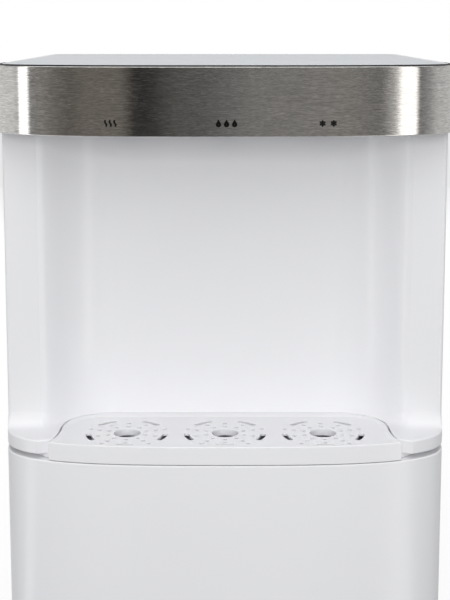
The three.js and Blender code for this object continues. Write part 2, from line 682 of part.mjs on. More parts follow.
function addDrain() {
  const { y1 } = REAR_COVER;
  part('drain_spigot', cut(
    rodY(DRAIN.radius, 120, REAR_MOST_Y - 2, 0, 0),
    rodY(DRAIN.bore, 119, REAR_MOST_Y, 0, 0, 12),
  ), 'whitePlastic', [DRAIN.x, 0, DRAIN.z]);
  const lobes = Array.from({ length: 48 }, (_, i) => {
    const angle = (2 * Math.PI * i) / 48;
    const radius = 10 + 0.6 * Math.cos(8 * angle);
    return [radius * Math.cos(angle), radius * Math.sin(angle)];
  });
  const knob = slab(lobes, -REAR_MOST_Y + 0.1, -y1 - GAP).rotateX(Math.PI / 2);
  part('drain_cap', cut(knob, rodY(DRAIN.radius + 0.4, y1 - 2, REAR_MOST_Y - 1.6, 0, 0)),
    'blackPlastic', [DRAIN.x, 0, DRAIN.z]);
}

function addControls() {
  part('board_bracket', join(
    block(-110, 0, -62, -60.5, FOOT_HEIGHT + 2.5 + GAP, 180),
    block(-110, 0, -62, -35, FOOT_HEIGHT + 2.5 + GAP, FOOT_HEIGHT + 4.5),
  ), 'galvanised');
  part('control_board', join(
    block(-105, -5, -66, -64.4, 60, 170),
    block(-95, -65, -84, -65, 75, 105),
    block(-45, -20, -80, -65, 70, 95),
    block(-80, -55, -78, -65, 130, 155),
    block(-40, -15, -76, -65, 125, 160),
  ), 'board');
}

addBase();
addCasing();
addAlcove();
addHead();
addLid();
addTaps();
addTray();
addShelves();
addTanks();
addTubes();
addCompressor();
addCondenser();
addRear();
addInlet();
addSwitches();
addDrain();
addControls();

export default dispenser;
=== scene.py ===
# Looks of the countertop water dispenser: fine meshes and procedural materials around the CAD frame.
# Metres, +Z up, the user stands on the -Y side.
import json
import math

import bmesh
import bpy
import numpy as np
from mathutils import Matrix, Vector


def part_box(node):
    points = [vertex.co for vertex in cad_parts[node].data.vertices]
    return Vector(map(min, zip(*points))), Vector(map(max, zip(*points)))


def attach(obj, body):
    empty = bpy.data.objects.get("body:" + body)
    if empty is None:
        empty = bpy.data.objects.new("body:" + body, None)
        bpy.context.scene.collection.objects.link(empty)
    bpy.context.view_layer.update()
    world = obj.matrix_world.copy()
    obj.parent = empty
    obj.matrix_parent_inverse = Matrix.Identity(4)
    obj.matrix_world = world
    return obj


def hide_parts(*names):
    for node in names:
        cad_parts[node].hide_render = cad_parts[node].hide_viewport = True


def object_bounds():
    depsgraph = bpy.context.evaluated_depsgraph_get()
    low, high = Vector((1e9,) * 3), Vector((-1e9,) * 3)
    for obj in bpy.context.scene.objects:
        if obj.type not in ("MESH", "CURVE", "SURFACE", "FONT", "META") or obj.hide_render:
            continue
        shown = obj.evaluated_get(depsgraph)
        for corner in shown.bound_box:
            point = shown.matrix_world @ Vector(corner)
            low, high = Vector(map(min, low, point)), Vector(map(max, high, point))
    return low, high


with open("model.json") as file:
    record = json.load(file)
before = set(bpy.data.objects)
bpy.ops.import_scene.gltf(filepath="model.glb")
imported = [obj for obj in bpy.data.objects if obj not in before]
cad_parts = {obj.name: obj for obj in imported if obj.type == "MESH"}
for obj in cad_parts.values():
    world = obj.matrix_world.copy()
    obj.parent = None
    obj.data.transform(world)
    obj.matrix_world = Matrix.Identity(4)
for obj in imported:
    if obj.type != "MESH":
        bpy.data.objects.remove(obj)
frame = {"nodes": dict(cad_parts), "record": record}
cad_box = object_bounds()

MM = 0.001
ROW_BOX = [Vector(cad_box[0]), Vector(cad_box[1])]

# ---- camera ----
CAMERA_AHEAD = 0.798  # in front of the band
CAMERA_ABOVE = 0.025  # over the top surface
CAMERA_TILT = math.radians(7.62)
CAMERA_LENS = 74.56
CAMERA_SHIFT = -0.18

camera = bpy.data.objects.new("camera", bpy.data.cameras.new("camera"))
bpy.context.scene.collection.objects.link(camera)
camera.location = (0, ROW_BOX[0].y - CAMERA_AHEAD, ROW_BOX[1].z + CAMERA_ABOVE)
camera.rotation_euler = (math.radians(90) - CAMERA_TILT, 0, 0)
camera.data.lens = CAMERA_LENS
camera.data.sensor_width = 36
camera.data.shift_y = CAMERA_SHIFT
camera.data.clip_start = 0.01
bpy.context.scene.camera = camera
bpy.context.scene.view_settings.view_transform = "Standard"

# ---- driving sizes, as in the CAD model ----
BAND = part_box("steel_band")
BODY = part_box("lower_front_panel")
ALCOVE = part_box("alcove_panel")
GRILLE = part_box("tray_grille")
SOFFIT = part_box("head_soffit")
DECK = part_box("top_deck")
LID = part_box("top_lid")
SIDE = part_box("side_panel_right")
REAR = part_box("rear_cover")

BOW_END_Y = -112 * MM
BOW_POWER = 3
BAND_HALF = BAND[1].x
BAND_FRONT = BAND[0].y
BODY_HALF = BODY[1].x
BODY_FRONT = BODY[0].y
SEAM_Y = BAND[1].y
WALL = 3 * MM
DECK_Z = 213 * MM
LEDGE_BOTTOM_Z = 216.4 * MM
LEDGE_TOP_Z = GRILLE[1].z
COLUMN_FACE_Y = -118 * MM
COLUMN_INNER_X = 129.2 * MM
BACK_WALL_Y = -87 * MM
BACK_WALL_HALF = 78 * MM
LEDGE_CORNER_X = 127.2 * MM
THROAT = (120.7 * MM, BAND_FRONT + 17.2 * MM)
PLINTH_INSET = 8 * MM
TRAY_HALF = GRILLE[1].x
TRAY_SIDE = [(115.6, 24), (114.2, 36), (113.9, 47), (111.2, 57.5), (105, 66.5), (94, 73)]
TRAY_GAP = 1 * MM
TAP_PITCH = 67.8 * MM
TAPS = (("hot", -TAP_PITCH), ("normal", 0.0), ("cold", TAP_PITCH))


# ---- outline helpers ----
def spaced(points, step, closed=False):
    """The same line with its points evenly spaced."""
    line = [Vector(p) for p in points]
    if closed:
        line.append(line[0])
    lengths = [0.0]
    for a, b in zip(line, line[1:]):
        lengths.append(lengths[-1] + (b - a).length)
    count = max(2, round(lengths[-1] / step))
    out, k = [], 0
    for i in range(count + (0 if closed else 1)):
        target = lengths[-1] * i / count
        while k < len(line) - 2 and lengths[k + 1] < target:
            k += 1
        part = (target - lengths[k]) / max(lengths[k + 1] - lengths[k], 1e-12)
        out.append(line[k].lerp(line[k + 1], min(max(part, 0), 1)))
    return out


def bow(half, front, step=2 * MM):
    """The bowed front in plan, from its right end round to its left."""
    depth = BOW_END_Y - front
    dense = []
    for i in range(1441):
        t = math.pi * i / 1440
        c, s = math.cos(t), max(math.sin(t), 0)
        x = math.copysign(half * abs(c) ** (2 / BOW_POWER), c)
        dense.append((x, BOW_END_Y - depth * s ** (2 / BOW_POWER)))
    return spaced(dense, step)


def bow_y(half, front, x):
    return BOW_END_Y - (BOW_END_Y - front) * (1 - (abs(x) / half) ** BOW_POWER) ** (1 / BOW_POWER)


def bow_half(half, front, y):
    along = max(BOW_END_Y - y, 0) / (BOW_END_Y - front)
    return half * max(1 - along ** BOW_POWER, 0) ** (1 / BOW_POWER)


def front_path(half, front, back=SEAM_Y, step=2 * MM):
    """The bow with its straight sides, as an open line from the right seam to the left one."""
    return [Vector((half, back))] + bow(half, front, step) + [Vector((-half, back))]


def rounded(points, steps=5):
    """A closed outline of (x, y, radius) corners, each corner turned into an arc."""
    out = []
    count = len(points)
    for i, (x, y, radius) in enumerate(points):
        here = Vector((x, y))
        before = Vector(points[i - 1][:2]) - here
        after = Vector(points[(i + 1) % count][:2]) - here
        if radius <= 0 or before.length < 1e-9 or after.length < 1e-9:
            out.append(here)
            continue
        u, v = before.normalized(), after.normalized()
        half_angle = u.angle(v) / 2
        reach = min(radius / math.tan(half_angle), before.length * 0.49, after.length * 0.49)
        radius = reach * math.tan(half_angle)
        centre = here + (u + v).normalized() * (radius / math.sin(half_angle))
        start, end = here + u * reach - centre, here + v * reach - centre
        for k in range(steps + 1):
            out.append(centre + start.slerp(end, k / steps, start).normalized() * radius)
    return out


def mirrored(half):
    return list(half) + [Vector((-p[0], p[1])) for p in reversed(half)]


def section(inset0, inset1, z0, z1, radius, steps=4):
    """A closed cross-section with rounded corners, as (inset, z)."""
    corners = [(inset0, z0, radius), (inset0, z1, radius), (inset1, z1, radius), (inset1, z0, radius)]
    return [tuple(p) for p in rounded(corners, steps)]


def smooth_line(points, count):
    """A Catmull-Rom line through its points."""
    pts = [Vector(p) for p in points]
    pts = [pts[0] * 2 - pts[1]] + pts + [pts[-1] * 2 - pts[-2]]
    out = []
    for i in range(1, len(pts) - 2):
        a, b, c, d = pts[i - 1:i + 3]
        for k in range(count):
            t = k / count
            out.append(0.5 * (2 * b + (c - a) * t + (2 * a - 5 * b + 4 * c - d) * t ** 2
                              + (3 * b - a - 3 * c + d) * t ** 3))
    return out + [pts[-2]]


def tray_side():
    """The tray's right side, from its front corner to its straight back."""
    corner = (TRAY_HALF, bow_y(BODY_HALF, BODY_FRONT, TRAY_HALF))
    knots = [corner] + [(x * MM, BAND_FRONT + depth * MM) for x, depth in TRAY_SIDE]
    return spaced(smooth_line(knots, 12), 2 * MM)


def offset(points, distance, closed=False):
    """The line moved sideways, to the right of its direction of travel."""
    out, last = [], len(points) - 1
    for i, p in enumerate(points):
        a = points[i - 1] if closed or i else p
        b = points[(i + 1) % (last + 1)] if closed or i < last else p
        before, after = Vector(p) - Vector(a), Vector(b) - Vector(p)
        before = before.normalized() if before.length else after.normalized()
        after = after.normalized() if after.length else before
        way = (before + after).normalized()
        normal = Vector((way.y, -way.x))
        reach = distance / max(normal.dot(Vector((after.y, -after.x))), 0.4)
        out.append(Vector(p) + normal * reach)
    return unfolded(points, out, abs(distance))


def unfolded(points, moved, distance):
    """Takes out the small loops that a sharp corner leaves in a line moved further than its spacing."""
    old, new = np.array([tuple(p) for p in points]), np.array([tuple(p) for p in moved])
    gap = np.sqrt(((new[:, None, :] - old[None, :, :]) ** 2).sum(2)).min(1)
    sound = np.flatnonzero(gap > distance * 0.985)
    if len(sound) < 2:
        return moved
    nearest = sound[np.abs(np.arange(len(new))[:, None] - sound[None, :]).argmin(1)]
    return [moved[i] for i in nearest]


def distinct(points):
    """The closed line without repeated points."""
    return [p for i, p in enumerate(points) if (p - points[i - 1]).length > 1e-6]


# ---- mesh helpers ----
def add(name, mesh, angle=34, weighted=True):
    obj = bpy.data.objects.new(name, mesh)
    bpy.context.scene.collection.objects.link(obj)
    mesh.shade_smooth()
    mesh.set_sharp_from_angle(angle=math.radians(angle))
    if weighted:
        normals = obj.modifiers.new("normals", "WEIGHTED_NORMAL")
        normals.keep_sharp = True
    return obj


def shell(name, vertices, faces, angle=34):
    mesh = bpy.data.meshes.new(name)
    bm = bmesh.new()
    made = [bm.verts.new(v) for v in vertices]
    for face in faces:
        bm.faces.new([made[i] for i in face])
    bmesh.ops.remove_doubles(bm, verts=bm.verts, dist=1e-6)
    bmesh.ops.recalc_face_normals(bm, faces=bm.faces)
    bm.to_mesh(mesh)
    bm.free()
    return add(name, mesh, angle)


def swept(name, path, profile, closed=False, shape=None, angle=34):
    """A solid of one cross-section, given as (inset, z), carried along a plan line."""
    count, around = len(path), len(profile)
    vertices = []
    rows = {inset: offset(path, inset, closed) for inset in {p[0] for p in profile}}
    for i in range(count):
        for inset, z in profile:
            spot = Vector((*rows[inset][i], z))
            vertices.append(shape(spot, i) if shape else spot)
    faces = []
    for i in range(count if closed else count - 1):
        for k in range(around):
            a, b = i * around, ((i + 1) % count) * around
            n = (k + 1) % around
            faces.append((a + k, b + k, b + n, a + n))
    if not closed:
        faces += [tuple(range(around)), tuple((count - 1) * around + k for k in range(around))]
    return shell(name, vertices, faces, angle)


def plate(name, loops, z0, z1, edge, steps=3):
    """A flat plate with rounded edges. The first loop is its outline and the rest are holes.

    The curve is drawn in millimetres, because Blender's fill is too coarse for small shapes in metres.
    """
    curve = bpy.data.curves.new(name, "CURVE")
    curve.dimensions = "2D"
    curve.fill_mode = "BOTH"
    for loop in loops:
        spline = curve.splines.new("POLY")
        spline.points.add(len(loop) - 1)
        for point, p in zip(spline.points, loop):
            point.co = (p[0] / MM, p[1] / MM, 0, 1)
        spline.use_cyclic_u = True
    curve.extrude = ((z1 - z0) / 2 - edge) / MM
    curve.bevel_depth = edge / MM
    curve.bevel_resolution = steps
    curve.offset = -edge / MM
    source = bpy.data.objects.new(name, curve)
    bpy.context.scene.collection.objects.link(source)
    graph = bpy.context.evaluated_depsgraph_get()
    mesh = bpy.data.meshes.new_from_object(source.evaluated_get(graph))
    bpy.data.objects.remove(source)
    bm = bmesh.new()
    bm.from_mesh(mesh)
    bmesh.ops.scale(bm, verts=bm.verts, vec=(MM, MM, MM))
    bmesh.ops.remove_doubles(bm, verts=bm.verts, dist=2e-6)
    bmesh.ops.dissolve_degenerate(bm, edges=bm.edges, dist=1e-6)
    bmesh.ops.translate(bm, verts=bm.verts, vec=(0, 0, (z0 + z1) / 2))
    bmesh.ops.recalc_face_normals(bm, faces=bm.faces)
    bm.to_mesh(mesh)
    bm.free()
    mesh.name = name
    return add(name, mesh, 50)


def merged(name, objects):
    """The given objects joined into one, modifiers applied."""
    graph = bpy.context.evaluated_depsgraph_get()
    bm = bmesh.new()
    for obj in objects:
        mesh = obj.evaluated_get(graph).to_mesh()
        bm.from_mesh(mesh)
        obj.evaluated_get(graph).to_mesh_clear()
    mesh = bpy.data.meshes.new(name)
    bm.to_mesh(mesh)
    bm.free()
    for obj in objects:
        bpy.data.objects.remove(obj)
    return add(name, mesh, 34)


def circle(x, y, radius, steps=32):
    return [Vector((x + radius * math.cos(2 * math.pi * i / steps),
                    y + radius * math.sin(2 * math.pi * i / steps))) for i in range(steps)]


def lathe(name, profile, place, axis="Z", steps=48):
    """A turned solid: (radius, height) from the axis and back to it."""
    vertices, faces, around = [], [], len(profile)
    for i in range(steps):
        angle = 2 * math.pi * i / steps
        for radius, height in profile:
            spot = Vector((radius * math.cos(angle), radius * math.sin(angle), height))
            if axis == "Y":
                spot = Vector((spot.x, spot.z, -spot.y))
            elif axis == "X":
                spot = Vector((spot.z, spot.x, spot.y))
            vertices.append(spot + Vector(place))
    for i in range(steps):
        a, b = i * around, ((i + 1) % steps) * around
        for k in range(around - 1):
            faces.append((a + k, b + k, b + k + 1, a + k + 1))
    mesh = bpy.data.meshes.new(name)
    bm = bmesh.new()
    made = [bm.verts.new(v) for v in vertices]
    for face in faces:
        bm.faces.new([made[i] for i in face])
    bmesh.ops.remove_doubles(bm, verts=bm.verts, dist=1e-6)
    bmesh.ops.dissolve_degenerate(bm, edges=bm.edges, dist=1e-6)
    bmesh.ops.recalc_face_normals(bm, faces=bm.faces)
    bm.to_mesh(mesh)
    bm.free()
    return add(name, mesh)


def soft_box(name, low, high, radius, segments=4):
    """A moulded block with rounded edges."""
    bm = bmesh.new()
    bmesh.ops.create_cube(bm, size=1)
    size = Vector(high) - Vector(low)
    for v in bm.verts:
        v.co = Vector(low) + Vector([size[i] * (v.co[i] + 0.5) for i in range(3)])
    bmesh.ops.bevel(bm, geom=list(bm.edges), offset=radius, segments=segments, profile=0.5, affect="EDGES")
    mesh = bpy.data.meshes.new(name)
    bm.to_mesh(mesh)
    bm.free()
    return add(name, mesh)


# ---- materials ----
class Graph:
    """A material's node tree, with short calls for its nodes."""

    def __init__(self, name):
        self.material = bpy.data.materials.new(name)
        self.material.use_nodes = True
        self.tree = self.material.node_tree
        self.shader = self.tree.nodes["Principled BSDF"]
        self.place = self.node("ShaderNodeTexCoord").outputs["Object"]

    def node(self, kind, settings=None, **sockets):
        made = self.tree.nodes.new(kind)
        for key, value in (settings or {}).items():
            setattr(made, key, value)
        for key, value in sockets.items():
            self.feed(made.inputs[key.replace("_", " ")], value)
        return made

    def feed(self, socket, value):
        if isinstance(value, bpy.types.NodeSocket):
            self.tree.links.new(value, socket)
        else:
            socket.default_value = value

    def noise(self, scale, detail=3.0, roughness=0.55, stretch=(1, 1, 1)):
        place = self.node("ShaderNodeMapping", Vector=self.place, Scale=stretch).outputs["Vector"]
        made = self.node("ShaderNodeTexNoise", Vector=place, Scale=scale, Detail=detail, Roughness=roughness)
        return made.outputs["Fac"]

    def spread(self, value, low, high, start=0.3, end=0.7):
        made = self.node("ShaderNodeMapRange", Value=value)
        for key, number in (("From Min", start), ("From Max", end), ("To Min", low), ("To Max", high)):
            made.inputs[key].default_value = number
        return made.outputs["Result"]

    def mix(self, factor, first, second):
        made = self.node("ShaderNodeMix", {"data_type": "RGBA"})
        self.feed(made.inputs[0], factor)
        self.feed(made.inputs[6], first)
        self.feed(made.inputs[7], second)
        return made.outputs[2]

    def bump(self, height, strength, distance, normal=None):
        made = self.node("ShaderNodeBump", Height=height, Strength=strength, Distance=distance)
        if normal:
            self.feed(made.inputs["Normal"], normal)
        return made.outputs["Normal"]


def scaled(colour, share):
    return (*[min(c * share, 1) for c in colour[:3]], 1)


def moulded(name, colour, rough, tint=0.04, peel=0.05, wear=0.06, coat=0.0, grain=900.0, metallic=0.0):
    """Moulded, painted or cast stuff: mottled colour, uneven gloss, fine grain and rubbed edges."""
    g = Graph(name)
    blotch = g.spread(g.noise(14, 4), 0, 1)
    base = g.mix(blotch, scaled(colour, 1 - tint), scaled(colour, 1 + tint * 0.4))
    edge = g.node("ShaderNodeNewGeometry").outputs["Pointiness"]
    rubbed = g.spread(edge, 0, wear, 0.51, 0.6)
    base = g.mix(rubbed, base, scaled(colour, 1.35))
    g.feed(g.shader.inputs["Base Color"], base)
    gloss = g.spread(g.noise(grain * 0.6, 2), rough * 0.95, rough * 1.08)
    g.feed(g.shader.inputs["Roughness"], gloss)
    fine = g.bump(g.noise(grain, 2), peel, 0.2 * MM)
    g.feed(g.shader.inputs["Normal"], g.bump(g.noise(38, 2), peel * 0.6, 0.4 * MM, fine))
    g.shader.inputs["Metallic"].default_value = metallic
    g.shader.inputs["IOR"].default_value = 1.5
    g.shader.inputs["Coat Weight"].default_value = coat
    g.shader.inputs["Coat Roughness"].default_value = 0.08
    return g


def brushed(name, colour, rough=0.3):
    """Stainless steel brushed level, round the upright axis."""
    g = Graph(name)
    fine = g.noise(1.0, 2, 0.7, (260, 260, 2300))
    broad = g.noise(1.0, 3, 0.65, (100, 100, 1000))
    cloud = g.noise(9, 3)
    line = g.spread(fine, 0.74, 1.2)
    band = g.spread(broad, 0.85, 1.12)
    both = g.node("ShaderNodeMath", {"operation": "MULTIPLY"})
    g.feed(both.inputs[0], line)
    g.feed(both.inputs[1], band)
    tone = g.node("ShaderNodeVectorMath", {"operation": "SCALE"})
    g.feed(tone.inputs[0], g.mix(g.spread(cloud, 0, 1), scaled(colour, 0.96), scaled(colour, 1.03)))
    g.feed(tone.inputs["Scale"], both.outputs[0])
    g.feed(g.shader.inputs["Base Color"], tone.outputs[0])
    g.feed(g.shader.inputs["Roughness"], g.spread(fine, rough * 0.8, rough * 1.3))
    g.feed(g.shader.inputs["Normal"], g.bump(fine, 0.12, 0.05 * MM))
    tangent = g.node("ShaderNodeTangent", {"direction_type": "RADIAL", "axis": "Z"}).outputs["Tangent"]
    g.feed(g.shader.inputs["Tangent"], tangent)
    g.shader.inputs["Metallic"].default_value = 1.0
    g.shader.inputs["Anisotropic"].default_value = 0.93
    g.shader.inputs["Anisotropic Rotation"].default_value = 0.25
    return g


def foam(name, colour):
    g = moulded(name, colour, 0.9, tint=0.12, peel=0.0)
    cells = g.node("ShaderNodeTexVoronoi", Vector=g.place, Scale=420.0).outputs["Distance"]
    g.feed(g.shader.inputs["Normal"], g.bump(cells, 0.6, 0.8 * MM))
    return g


def cloudy(name, colour, rough, see):
    g = moulded(name, colour, rough, peel=0.03)
    g.shader.inputs["Transmission Weight"].default_value = see
    return g


WHITE = (0.84, 0.84, 0.855, 1)
LIGHT_GREY = (0.56, 0.585, 0.61, 1)
BLACK = (0.012, 0.012, 0.013, 1)

MATERIALS = {
    "white": moulded("gloss_white_plastic", WHITE, 0.3, tint=0.008, peel=0.03, wear=0.1, coat=0.12),
    "light_grey": moulded("light_grey_plastic", LIGHT_GREY, 0.34, tint=0.03, peel=0.08, wear=0.15),
    "brushed_band": brushed("brushed_steel", (0.59, 0.575, 0.555), 0.16),
    "black": moulded("black_plastic", BLACK, 0.45, tint=0.2, peel=0.2, wear=0.2),
    "rubber_black": moulded("black_rubber", (0.02, 0.02, 0.02), 0.75, tint=0.25, peel=0.35, wear=0.25),
    "stainless": moulded("drawn_stainless", (0.62, 0.61, 0.6), 0.34, tint=0.06, peel=0.12, metallic=1.0),
    "foam": foam("insulation_foam", (0.78, 0.72, 0.55)),
    "copper": moulded("copper", (0.72, 0.36, 0.2), 0.33, tint=0.25, peel=0.1, metallic=1.0),
    "silicone": cloudy("milky_silicone", (0.8, 0.8, 0.78), 0.4, 0.25),
    "black_enamel": moulded("black_enamel", (0.018, 0.019, 0.021), 0.35, tint=0.2, peel=0.25, wear=0.3,
                            coat=0.3),
    "circuit_board": moulded("green_circuit_board", (0.012, 0.14, 0.045), 0.4, tint=0.35, peel=0.2),
    "clear_plastic": cloudy("clear_plastic", (0.85, 0.9, 0.93), 0.12, 0.85),
    "red": moulded("red_plastic", (0.45, 0.012, 0.014), 0.35, tint=0.1, peel=0.1, wear=0.2),
    "galvanised": moulded("galvanised_sheet", (0.5, 0.52, 0.54), 0.42, tint=0.22, peel=0.15, grain=160.0,
                          metallic=0.9),
}
SLOT_OF = {row["node"]: row["material_slot"] for row in frame["record"]["subparts"]}
PRINT = moulded("label_ink", (0.006, 0.006, 0.006), 0.6, tint=0.2, peel=0.1, wear=0.0)
PRINT.shader.inputs["IOR"].default_value = 1.2


def dress(obj, material):
    obj.data.materials.clear()
    obj.data.materials.append(material.material)


def stand_in(obj, body, *nodes):
    """The object takes the place of CAD nodes, on their body and with their finish."""
    slot = SLOT_OF[nodes[0]]
    dress(obj, MATERIALS[slot])
    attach(obj, body)
    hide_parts(*nodes)
    return obj


# ---- head ----
def make_band():
    height = section(0, 1.5 * MM, BAND[0].z, BAND[1].z, 0.7 * MM, 4)
    stand_in(swept("band", front_path(BAND_HALF, BAND_FRONT), height), "chassis", "steel_band")
    low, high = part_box("band_gasket")
    trim = section(1.8 * MM, 3.7 * MM, low.z, DECK[1].z - 0.05 * MM, 0.4 * MM, 3)
    stand_in(swept("band_trim", front_path(BAND_HALF, BAND_FRONT), trim), "chassis", "band_gasket")


def make_top():
    inset, thick, edge = 4 * MM, 3 * MM, 0.9 * MM
    outline = front_path(BAND_HALF - inset, BAND_FRONT + inset)
    cap = plate("deck_cap", [outline], DECK[1].z - thick, DECK[1].z, edge)
    wall = swept("deck_wall", outline, section(0, 1.5 * MM, DECK[0].z, DECK[1].z - edge, 0.4 * MM, 2))
    stand_in(merged("deck", [cap, wall]), "chassis", "top_deck")
    low, high = LID
    corner = 2 * MM
    sheet = plate("lid_sheet", [rounded([(low.x, low.y, corner), (high.x, low.y, corner),
                                         (high.x, high.y, corner), (low.x, high.y, corner)])],
                  high.z - thick, high.z, edge)
    pin_low, pin_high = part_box("lid_hinge_pin")
    axis = (pin_low + pin_high) / 2
    barrel = 4.5 * MM
    pieces = [sheet]
    for side in (-1, 1):
        x = side * 100 * MM
        half = 10 * MM
        pieces.append(soft_box(f"knuckle_{side}", (x - half, axis.y - barrel, axis.z - barrel),
                               (x + half, axis.y + barrel, high.z - thick + 0.5 * MM), 1.2 * MM))
    rib = 2 * MM
    for y in (low.y + 12 * MM, high.y - 26 * MM):
        pieces.append(soft_box("lid_rib", (low.x + 12 * MM, y, high.z - thick - 2 * MM),
                               (high.x - 12 * MM, y + rib, high.z - thick + 0.5 * MM), 0.5 * MM))
    stand_in(merged("lid_panel", pieces), "lid", "top_lid")


def make_soffit():
    low, high = SOFFIT
    inset = 1.8 * MM
    front = front_path(BAND_HALF - inset, BAND_FRONT + inset)
    back = [Vector((-149.2 * MM, SEAM_Y)), Vector((-149.2 * MM, high.y)),
            Vector((149.2 * MM, high.y)), Vector((149.2 * MM, SEAM_Y))]
    lever_low, lever_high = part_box("lever_normal")
    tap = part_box("tap_normal")
    tap_y = tap[0].y + 11 * MM
    slot_half, slot_y0, slot_y1 = 9 * MM, -100.5 * MM, -92 * MM
    holes = []
    for _, x in TAPS:
        holes.append(circle(x, tap_y, 6.6 * MM))
        holes.append(rounded([(x - slot_half, slot_y0, 1 * MM), (x + slot_half, slot_y0, 1 * MM),
                              (x + slot_half, slot_y1, 1 * MM), (x - slot_half, slot_y1, 1 * MM)], 3))
    stand_in(plate("soffit", [front + back, *holes], low.z, high.z, 0.6 * MM), "chassis", "head_soffit")


# ---- alcove ----
def alcove_path(step=1.6 * MM):
    """The alcove's front surface in plan, from the right side round to the left, and its corners."""
    p0, p1 = Vector((COLUMN_INNER_X, COLUMN_FACE_Y)), Vector((COLUMN_INNER_X - 11 * MM, COLUMN_FACE_Y + 3 * MM))
    p2, p3 = Vector((COLUMN_INNER_X - 20 * MM, BACK_WALL_Y - 1 * MM)), Vector((BACK_WALL_HALF, BACK_WALL_Y))
    sweep = []
    for i in range(61):
        t = i / 60
        sweep.append(p0 * (1 - t) ** 3 + p1 * 3 * t * (1 - t) ** 2 + p2 * 3 * t * t * (1 - t) + p3 * t ** 3)
    crisp, soft = 1.2 * MM, 2.5 * MM
    turn = rounded([(BODY_HALF, COLUMN_FACE_Y, soft), (p0.x, p0.y, 0), (BODY_HALF, SEAM_Y, 0)], 6)[:7]
    lead = sweep[6]
    inner = rounded([(BODY_HALF - 8 * MM, p0.y, 0), (p0.x, p0.y, crisp), (lead.x, lead.y, 0)], 6)[1:8]
    face = spaced([turn[-1], inner[0]], step)[1:-1]
    wall = spaced([inner[-1]] + sweep[6:], step)[1:]
    flat = spaced([wall[-1], (0, BACK_WALL_Y)], 4 * MM)[1:-1]
    half = [Vector((BODY_HALF, SEAM_Y))] + turn + face + inner + wall + flat
    return mirrored(half)


def fillet_size(y):
    """The foot fillet is widest on the columns and narrows to the back wall."""
    deep = min(max((y - COLUMN_FACE_Y) / (BACK_WALL_Y - COLUMN_FACE_Y), 0), 1)
    return (0.6 + 9.4 * (1 - deep) ** 2.2) * MM


def make_alcove():
    path = alcove_path()
    top = ALCOVE[1].z
    skin = swept("skin", path, section(0, WALL, LEDGE_BOTTOM_Z, top, 0.4 * MM, 2))
    on_face = [i for i, p in enumerate(path) if abs(p.x) < BODY_HALF - 0.1 * MM]
    foot_path = path[on_face[0]:on_face[-1] + 1]
    arc = 10
    root = 0.6 * MM
    vertices, faces = [], []
    inner = offset(foot_path, root)
    outward = [offset(foot_path, -1 * MM)[i] - foot_path[i] for i in range(len(foot_path))]
    around = arc + 4
    for i, p in enumerate(foot_path):
        size = fillet_size(p.y)
        way = outward[i].normalized()
        ring = [(Vector(inner[i]), LEDGE_TOP_Z - root), (Vector(inner[i]), LEDGE_TOP_Z + size)]
        for k in range(arc + 1):
            angle = math.pi / 2 * k / arc
            ring.append((p + way * size * (1 - math.cos(angle)), LEDGE_TOP_Z + size * (1 - math.sin(angle))))
        ring.append((p + way * size, LEDGE_TOP_Z - root))
        for spot, z in ring:
            edge = bow_half(BODY_HALF, BODY_FRONT, spot.y) - 0.05 * MM
            vertices.append((math.copysign(min(abs(spot.x), edge), spot.x), spot.y, z))
    for i in range(len(foot_path) - 1):
        for k in range(around):
            n = (k + 1) % around
            a, b = i * around, (i + 1) * around
            faces.append((a + k, b + k, b + n, a + n))
    faces += [tuple(range(around)), tuple((len(foot_path) - 1) * around + k for k in range(around))]
    fillet = shell("fillet", vertices, faces)
    ledge = plate("ledge", [ledge_outline(0.06 * MM)], LEDGE_BOTTOM_Z, LEDGE_TOP_Z, 1.1 * MM, 4)
    plinth = plate("plinth", [ledge_outline(PLINTH_INSET)], ALCOVE[0].z, LEDGE_BOTTOM_Z + 1 * MM, 0.3 * MM, 2)
    stand_in(merged("alcove_moulding", [skin, fillet, ledge, plinth]), "chassis", "alcove_panel")


def ledge_outline(inset):
    """The ledge round the tray: two feet, the mouth between them and a strip along the back."""
    half = BODY_HALF - inset
    front = BODY_FRONT + inset
    side = [p for p in bow(half, front, 1.5 * MM) if p.x > LEDGE_CORNER_X]
    corner = Vector((LEDGE_CORNER_X, bow_y(half, front, LEDGE_CORNER_X)))
    mouth = [p for p in offset(tray_side(), TRAY_GAP) if p.y > THROAT[1] + 1.5 * MM]
    right = [Vector((half, SEAM_Y))] + side + [corner, Vector(THROAT)] + mouth
    strip_x, strip_y = 118 * MM, BACK_WALL_Y + 1 * MM
    back = [Vector((-strip_x, SEAM_Y)), Vector((-strip_x, strip_y)), Vector((strip_x, strip_y)),
            Vector((strip_x, SEAM_Y))]
    return mirrored(right) + back


# ---- tray ----
def tray_outline():
    right = tray_side()
    front = [p for p in bow(BODY_HALF, BODY_FRONT) if abs(p.x) < TRAY_HALF - 1 * MM]
    return list(reversed(right)) + front + [Vector((-p.x, p.y)) for p in right]


